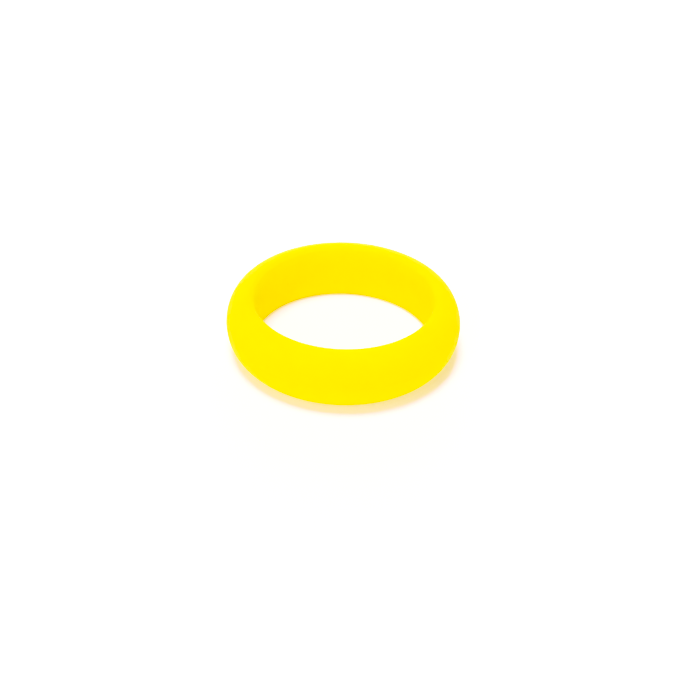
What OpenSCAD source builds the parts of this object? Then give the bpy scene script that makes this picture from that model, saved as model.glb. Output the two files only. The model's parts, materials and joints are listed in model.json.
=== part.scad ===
// One-piece moulded ring: a straight round bore inside, a domed crown outside.
// Millimetres. +Z runs along the bore, and the origin is the centre of the ring.

/* [Ring] */
// Outer diameter, at the crest of the crown
outer_d = 44.5; // [41:0.5:60]
// Diameter of the straight bore
bore_d = 34; // [28:0.5:36]
// Height of the band along its axis
height = 11.4; // [6:0.1:16]

/* [Edges] */
// Radius of the two rounded edges of the bore
edge_r = 0.8; // [0.4:0.1:1.2]
// Width of the flat land on each face, between the bore's edge and the crown
land_w = 0.3; // [0.2:0.05:0.8]

/* [Smoothness] */
// Straight steps in each rounded edge of the bore
edge_steps = 12; // [6:1:24]
// Straight steps across the crown, from face to face
crown_steps = 72; // [24:4:120]
// Segments round the ring in a preview
ring_segments = 180; // [60:12:360]

/* [Hidden] */
half_height = height / 2;
edge_centre = [bore_d / 2 + edge_r, half_height - edge_r];
// The crown is half an ellipse. It leaves the lands at crown_base_r and reaches out by crown_bulge.
crown_base_r = edge_centre.x + land_w;
crown_bulge = outer_d / 2 - crown_base_r;
silicone_yellow = [1, 0.87, 0.03];

// Points of an elliptical arc round a centre, between two angles.
function arc_points(centre, half_axes, from, to, steps) = [
    for (i = [0:steps])
        let (angle = from + (to - from) * i / steps)
            centre + [half_axes.x * cos(angle), half_axes.y * sin(angle)]
];

// The band's section, radius across and height up, anticlockwise from the lower end of the bore's wall.
function band_section() = concat(
    arc_points([edge_centre.x, -edge_centre.y], [edge_r, edge_r], 180, 270, edge_steps),
    arc_points([crown_base_r, 0], [crown_bulge, half_height], -90, 90, crown_steps),
    arc_points(edge_centre, [edge_r, edge_r], 90, 180, edge_steps)
);

module moulded_ring() {
    color(silicone_yellow)
        rotate_extrude($fn = ring_segments)
            polygon(band_section());
}

moulded_ring();
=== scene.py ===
"""A small one-piece ring of soft yellow silicone rubber, flat on a white sheet in soft studio light."""

import json
import math

import bmesh
import bpy
from mathutils import Matrix, Vector, noise


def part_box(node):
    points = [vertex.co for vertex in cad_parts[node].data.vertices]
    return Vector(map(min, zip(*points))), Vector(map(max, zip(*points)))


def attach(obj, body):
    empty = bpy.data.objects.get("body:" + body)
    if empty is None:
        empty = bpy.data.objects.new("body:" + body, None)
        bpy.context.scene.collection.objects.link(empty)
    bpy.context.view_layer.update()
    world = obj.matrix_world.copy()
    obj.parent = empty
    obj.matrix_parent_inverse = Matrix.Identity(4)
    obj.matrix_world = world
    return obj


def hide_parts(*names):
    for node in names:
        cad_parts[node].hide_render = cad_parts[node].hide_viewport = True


MM = 0.001

# The band's section. The outside comes from the CAD box and the bore from its mount.
EDGE_R = 0.8 * MM  # the bore's two rounded edges
LAND_W = 0.3 * MM  # the flat land on each face

# What the mould leaves on the rubber
PARTING_H = 0.035 * MM  # the thin raised line round the crest, where the mould's halves meet
PARTING_W = 0.07 * MM
TRIM_LEVEL = 0.75  # the share of that height that uneven trimming leaves on average
TRIM_CHANGES = ((0.45, 2.2 * MM), (0.25, 0.5 * MM))  # how far that share changes, and over what length
GATE_H = 0.10 * MM  # the trimmed stub of the gate, on the same line
GATE_W = 0.55 * MM  # along the line
GATE_T = 0.22 * MM  # across it
GATE_ANGLE = math.radians(128)
SHUTOFF_H = 0.02 * MM  # the core's line inside, just above the bore's lower edge
SHUTOFF_W = 0.06 * MM
SHUTOFF_UP = 0.45 * MM  # above the start of the straight wall
WAVE_H = 0.018 * MM  # slow unevenness of the skin
WAVE_LENGTH = 7.0 * MM

# How finely the band is meshed
RING_STEPS = 400
EDGE_STEPS = 10
WALL_STEPS = 36
CROWN_STEPS = 64
FINE_HALF_ANGLE = math.radians(3)  # the crown's stretch about the crest, where the parting line is
FINE_STEPS = 30

# The camera, as in the photograph
CAMERA_DISTANCE = 244.75 * MM
CAMERA_ELEVATION = math.radians(34.55)
CAMERA_ROLL = math.radians(1.60)
CAMERA_PAN = math.radians(0.295)  # to the ring's right
CAMERA_TILT = math.radians(1.367)  # below the ring
CAMERA_LENS = 65.89
SENSOR_WIDTH = 36.0
CLIP_START = 0.01
CLIP_END = 20

# The rubber
YELLOW_DEEP = (0.955, 0.662, 0.0, 1)
YELLOW_LIGHT = (0.975, 0.687, 0.0, 1)
MOTTLE_SIZE = 3.5 * MM
GLOW_DEPTH = 12.0 * MM  # how far light travels inside the rubber: further than the band is thick
GLOW_COLOUR = (1.0, 1.0, 0.3)
SILICONE_IOR = 1.41
SPECULAR_LEVEL = 0.18
SKIN_ROUGHNESS = (0.60, 0.70)
POLISH_SIZE = 5.0 * MM  # the patches that handling has made smoother
GRAIN_SIZE = 0.16 * MM  # the fine grain of the blasted mould
GRAIN_DEPTH = 0.02 * MM
GRAIN_STRENGTH = 0.35
NOISE_MIDDLE = (0.3, 0.7)  # the part of a noise's range that its ramp spreads out

# The sheet under the ring
SHEET_SIZE = 6.0
SHEET_WHITE = (0.93, 0.95)
SHEET_GRAIN = 1.5 * MM
SHEET_ROUGHNESS = 0.9
SHEET_SPECULAR = 0.2
SHEET_PAINTED_GLOW = (0.245, 0.9)  # painted light: the sheet's own glow near the ring, and far off, where it makes up for the panels' light falling away
PAINTED_GLOW_REACH = (0.6, 1.6)  # the distances from the ring between which the painted glow grows

# The light: a white backdrop all round and three soft panels
BACKDROP_STRENGTH = 1.33
BACKDROP_COLOUR = (0.70, 0.98, 1.0, 1)  # cool, so that the warm grade turns it to a plain white
BACKDROP_FADE = (0.15, 0.40)  # the sines of the heights between which the backdrop fades to dark
PANEL_DISTANCE = 3.5
PANELS = (  # name, azimuth and elevation in degrees, width in metres, and watts
    ("top_panel", 270, 85, 1.1, 103.5),
    ("left_panel", 330, 45, 2.1, 19),
    ("back_panel", 180, 15, 2.1, 42),
)

# The grade: a little contrast, with the reds carried to the top of the range as in the bright photograph
GRADE_BLACK = 0.035
GRADE_WHITE = (0.85, 1.21, 1.24)
GRADE_KNEE = ((0.224, 0.29), (0.50, 0.76), (0.717, 0.885))

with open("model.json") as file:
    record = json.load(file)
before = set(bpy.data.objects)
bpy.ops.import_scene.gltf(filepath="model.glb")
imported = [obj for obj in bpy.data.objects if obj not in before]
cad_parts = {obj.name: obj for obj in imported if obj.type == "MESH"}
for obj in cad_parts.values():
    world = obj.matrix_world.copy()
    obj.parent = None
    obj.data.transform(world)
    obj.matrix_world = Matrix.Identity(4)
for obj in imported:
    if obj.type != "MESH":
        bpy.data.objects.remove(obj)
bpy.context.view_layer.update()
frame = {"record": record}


def ring_dimensions():
    """(bore radius, outer radius, half height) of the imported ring."""
    low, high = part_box("moulded_ring")
    bore = next(m for m in frame["record"]["mounts"] if m["name"] == "bore")
    return bore["dims"]["r_mm"] * MM, (high.x - low.x) / 2, (high.z - low.z) / 2


BORE_R, OUTER_R, HALF_HEIGHT = ring_dimensions()
EDGE_CENTRE = Vector((BORE_R + EDGE_R, HALF_HEIGHT - EDGE_R))
CROWN_BASE_R = EDGE_CENTRE.x + LAND_W
CROWN_BULGE = OUTER_R - CROWN_BASE_R


def make_camera():
    """The camera, rolled about its own axis, then panned and tilted off the ring's centre."""
    data = bpy.data.cameras.new("camera")
    data.lens = CAMERA_LENS
    data.sensor_width = SENSOR_WIDTH
    data.clip_start = CLIP_START
    data.clip_end = CLIP_END
    camera = bpy.data.objects.new("camera", data)
    bpy.context.scene.collection.objects.link(camera)
    back = Vector((0, -math.cos(CAMERA_ELEVATION), math.sin(CAMERA_ELEVATION)))
    level = (-back).to_track_quat("-Z", "Y").to_matrix()
    turn = Matrix.Rotation(CAMERA_ROLL, 3, "Z") @ Matrix.Rotation(-CAMERA_PAN, 3, "Y")
    turn = turn @ Matrix.Rotation(-CAMERA_TILT, 3, "X")
    camera.matrix_world = (level @ turn).to_4x4()
    camera.location = back * CAMERA_DISTANCE
    bpy.context.scene.camera = camera


def steps_between(start, end, count):
    """count + 1 even steps from start to end, both ends included."""
    return [start + (end - start) * i / count for i in range(count + 1)]


def arc_points(centre, half_axes, angles):
    """(radius across, height up) of points on an elliptical arc."""
    return [
        (centre[0] + half_axes[0] * math.cos(a), centre[1] + half_axes[1] * math.sin(a))
        for a in angles
    ]


def band_section():
    """The band's section as (radius, height) points, anticlockwise from the bore's lower edge."""
    quarter = math.pi / 2
    crown = steps_between(-quarter, -FINE_HALF_ANGLE, CROWN_STEPS // 2)[:-1]
    crown += steps_between(-FINE_HALF_ANGLE, FINE_HALF_ANGLE, FINE_STEPS)
    crown += steps_between(FINE_HALF_ANGLE, quarter, CROWN_STEPS // 2)[1:]
    edge = (EDGE_R, EDGE_R)
    lower_turn = steps_between(-2 * quarter, -quarter, EDGE_STEPS)
    upper_turn = steps_between(quarter, 2 * quarter, EDGE_STEPS)
    section = arc_points((EDGE_CENTRE.x, -EDGE_CENTRE.y), edge, lower_turn)
    section += arc_points((CROWN_BASE_R, 0), (CROWN_BULGE, HALF_HEIGHT), crown)
    section += arc_points(EDGE_CENTRE, edge, upper_turn)
    wall = steps_between(EDGE_CENTRE.y, -EDGE_CENTRE.y, WALL_STEPS)[1:-1]
    return section + [(BORE_R, height) for height in wall]


def section_normals(section):
    """The outward direction at each point of the closed section."""
    normals = []
    for i in range(len(section)):
        before = Vector(section[i - 1])
        after = Vector(section[(i + 1) % len(section)])
        along = (after - before).normalized()
        normals.append((along.y, -along.x))
    return normals


def bell(distance, width):
    """1 in the middle, falling smoothly to nothing past this width."""
    return math.exp(-((distance / width) ** 2))


def mould_marks(radius, height, angle):
    """How far the skin stands proud of the true section at one point."""
    place = Vector((radius * math.cos(angle), radius * math.sin(angle), height))
    off_faces = 1 - (height / HALF_HEIGHT) ** 4
    proud = WAVE_H * off_faces * noise.noise(place / WAVE_LENGTH)
    if radius > CROWN_BASE_R:
        trim = TRIM_LEVEL + sum(change * noise.noise(place / length) for change, length in TRIM_CHANGES)
        proud += PARTING_H * trim * bell(height, PARTING_W)
        along = OUTER_R * (angle - GATE_ANGLE)
        proud += GATE_H * bell(along, GATE_W) * bell(height, GATE_T)
    else:
        proud += SHUTOFF_H * bell(height + EDGE_CENTRE.y - SHUTOFF_UP, SHUTOFF_W)
    return proud


def make_ring(material):
    """The whole moulding, turned about +Z from its section."""
    section = band_section()
    normals = section_normals(section)
    mesh = bmesh.new()
    rows = []
    for i in range(RING_STEPS):
        angle = 2 * math.pi * i / RING_STEPS
        row = []
        for (radius, height), (out_r, out_z) in zip(section, normals):
            proud = mould_marks(radius, height, angle)
            r = radius + proud * out_r
            z = height + proud * out_z
            row.append(mesh.verts.new((r * math.cos(angle), r * math.sin(angle), z)))
        rows.append(row)
    for i, row in enumerate(rows):
        next_row = rows[(i + 1) % RING_STEPS]
        for j in range(len(section)):
            k = (j + 1) % len(section)
            mesh.faces.new((row[j], next_row[j], next_row[k], row[k]))
    data = bpy.data.meshes.new("silicone_ring")
    mesh.to_mesh(data)
    mesh.free()
    data.shade_smooth()
    data.materials.append(material)
    ring = bpy.data.objects.new("silicone_ring", data)
    bpy.context.scene.collection.objects.link(ring)
    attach(ring, "root")
    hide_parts("moulded_ring")


def new_material(name):
    """(material, its nodes, its links, its Principled shader)."""
    material = bpy.data.materials.new(name)
    material.use_nodes = True
    nodes = material.node_tree.nodes
    return material, nodes, material.node_tree.links, nodes["Principled BSDF"]


def add_noise(nodes, links, coordinates, size, detail=2.0, roughness=0.5):
    """A noise texture whose grains are about this size in metres."""
    texture = nodes.new("ShaderNodeTexNoise")
    texture.inputs["Scale"].default_value = 1 / size
    texture.inputs["Detail"].default_value = detail
    texture.inputs["Roughness"].default_value = roughness
    links.new(coordinates, texture.inputs["Vector"])
    return texture


def add_ramp(nodes, links, value, low, high):
    """Maps the middle of a noise on to the range between two colours."""
    ramp = nodes.new("ShaderNodeValToRGB")
    for stop, position, colour in zip(ramp.color_ramp.elements, NOISE_MIDDLE, (low, high)):
        stop.position = position
        stop.color = colour
    links.new(value, ramp.inputs["Fac"])
    return ramp.outputs["Color"]


def grey(level):
    return (level, level, level, 1)


def silicone_material():
    """Yellow silicone that light travels right through, with the matte skin of a blasted mould."""
    material, nodes, links, shader = new_material("yellow_silicone")
    coordinates = nodes.new("ShaderNodeTexCoord").outputs["Object"]

    pigment = add_noise(nodes, links, coordinates, MOTTLE_SIZE, detail=4.0)
    colour = add_ramp(nodes, links, pigment.outputs["Fac"], YELLOW_DEEP, YELLOW_LIGHT)
    links.new(colour, shader.inputs["Base Color"])

    handling = add_noise(nodes, links, coordinates, POLISH_SIZE, detail=5.0, roughness=0.6)
    polish = add_ramp(nodes, links, handling.outputs["Fac"], *map(grey, SKIN_ROUGHNESS))
    links.new(polish, shader.inputs["Roughness"])

    grain = add_noise(nodes, links, coordinates, GRAIN_SIZE, detail=3.0, roughness=0.6)
    bump = nodes.new("ShaderNodeBump")
    bump.inputs["Strength"].default_value = GRAIN_STRENGTH
    bump.inputs["Distance"].default_value = GRAIN_DEPTH
    links.new(grain.outputs["Fac"], bump.inputs["Height"])
    links.new(bump.outputs["Normal"], shader.inputs["Normal"])

    shader.subsurface_method = "RANDOM_WALK"
    shader.inputs["Subsurface Weight"].default_value = 1.0
    shader.inputs["Subsurface Radius"].default_value = GLOW_COLOUR
    shader.inputs["Subsurface Scale"].default_value = GLOW_DEPTH
    shader.inputs["IOR"].default_value = SILICONE_IOR
    shader.inputs["Specular IOR Level"].default_value = SPECULAR_LEVEL
    return material


def sheet_material():
    """White paper with painted light: it glows faintly near the ring and more strongly far off, where
    the panels' light falls away.
    """
    material, nodes, links, shader = new_material("white_sheet")
    coordinates = nodes.new("ShaderNodeTexCoord").outputs["Object"]
    grain = add_noise(nodes, links, coordinates, SHEET_GRAIN, detail=3.0)
    colour = add_ramp(nodes, links, grain.outputs["Fac"], *map(grey, SHEET_WHITE))
    links.new(colour, shader.inputs["Base Color"])
    shader.inputs["Roughness"].default_value = SHEET_ROUGHNESS
    shader.inputs["Specular IOR Level"].default_value = SHEET_SPECULAR
    # Painted light: the sheet glows though no lamp is under it, more strongly the further it is from the
    # ring.
    shader.inputs["Emission Color"].default_value = grey(1)

    distance = nodes.new("ShaderNodeVectorMath")
    distance.operation = "LENGTH"
    links.new(coordinates, distance.inputs[0])
    painted_glow = nodes.new("ShaderNodeMapRange")
    painted_glow.inputs["From Min"].default_value, painted_glow.inputs["From Max"].default_value = PAINTED_GLOW_REACH
    painted_glow.inputs["To Min"].default_value, painted_glow.inputs["To Max"].default_value = SHEET_PAINTED_GLOW
    links.new(distance.outputs["Value"], painted_glow.inputs["Value"])
    links.new(painted_glow.outputs["Result"], shader.inputs["Emission Strength"])
    return material


def make_sheet():
    """A plain white sheet, large enough that its edge is out of sight."""
    bpy.ops.mesh.primitive_plane_add(size=SHEET_SIZE, location=(0, 0, -HALF_HEIGHT))
    sheet = bpy.context.object
    sheet.name = "white_sheet"
    sheet.data.materials.append(sheet_material())


def make_backdrop():
    """The world: white round the horizon, fading to dark higher up, where the panels are."""
    world = bpy.data.worlds.new("white_backdrop")
    world.use_nodes = True
    nodes = world.node_tree.nodes
    links = world.node_tree.links
    direction = nodes.new("ShaderNodeSeparateXYZ")
    links.new(nodes.new("ShaderNodeTexCoord").outputs["Generated"], direction.inputs["Vector"])
    height = nodes.new("ShaderNodeMath")
    height.operation = "ABSOLUTE"
    links.new(direction.outputs["Z"], height.inputs[0])
    fade = nodes.new("ShaderNodeMapRange")
    fade.inputs["From Min"].default_value, fade.inputs["From Max"].default_value = BACKDROP_FADE
    fade.inputs["To Min"].default_value = BACKDROP_STRENGTH
    fade.inputs["To Max"].default_value = 0
    links.new(height.outputs["Value"], fade.inputs["Value"])
    background = nodes["Background"]
    background.inputs["Color"].default_value = BACKDROP_COLOUR
    links.new(fade.outputs["Result"], background.inputs["Strength"])
    bpy.context.scene.world = world


def add_panel(name, azimuth, elevation, width, power):
    """A large square soft light aimed at the ring. Azimuth 0 is the camera's side, and 90 its right."""
    turn = math.radians(azimuth)
    rise = math.radians(elevation)
    level = math.cos(rise)
    towards = Vector((math.sin(turn) * level, -math.cos(turn) * level, math.sin(rise)))
    data = bpy.data.lights.new(name, "AREA")
    data.shape = "SQUARE"
    data.size = width
    data.energy = power
    light = bpy.data.objects.new(name, data)
    light.location = PANEL_DISTANCE * towards
    light.rotation_mode = "QUATERNION"
    light.rotation_quaternion = (-towards).to_track_quat("-Z", "Y")
    bpy.context.scene.collection.objects.link(light)


def set_grade():
    """The picture's tone curve, over the plain view transform."""
    view = bpy.context.scene.view_settings
    view.view_transform = "Standard"
    view.use_curve_mapping = True
    mapping = view.curve_mapping
    mapping.black_level = (GRADE_BLACK, GRADE_BLACK, GRADE_BLACK)
    mapping.white_level = GRADE_WHITE
    all_channels = mapping.curves[3]
    for point in GRADE_KNEE:
        all_channels.points.new(*point)
    mapping.update()


make_camera()
make_backdrop()
for panel in PANELS:
    add_panel(*panel)
make_sheet()
make_ring(silicone_material())
set_grade()

bpy.context.view_layer.update()
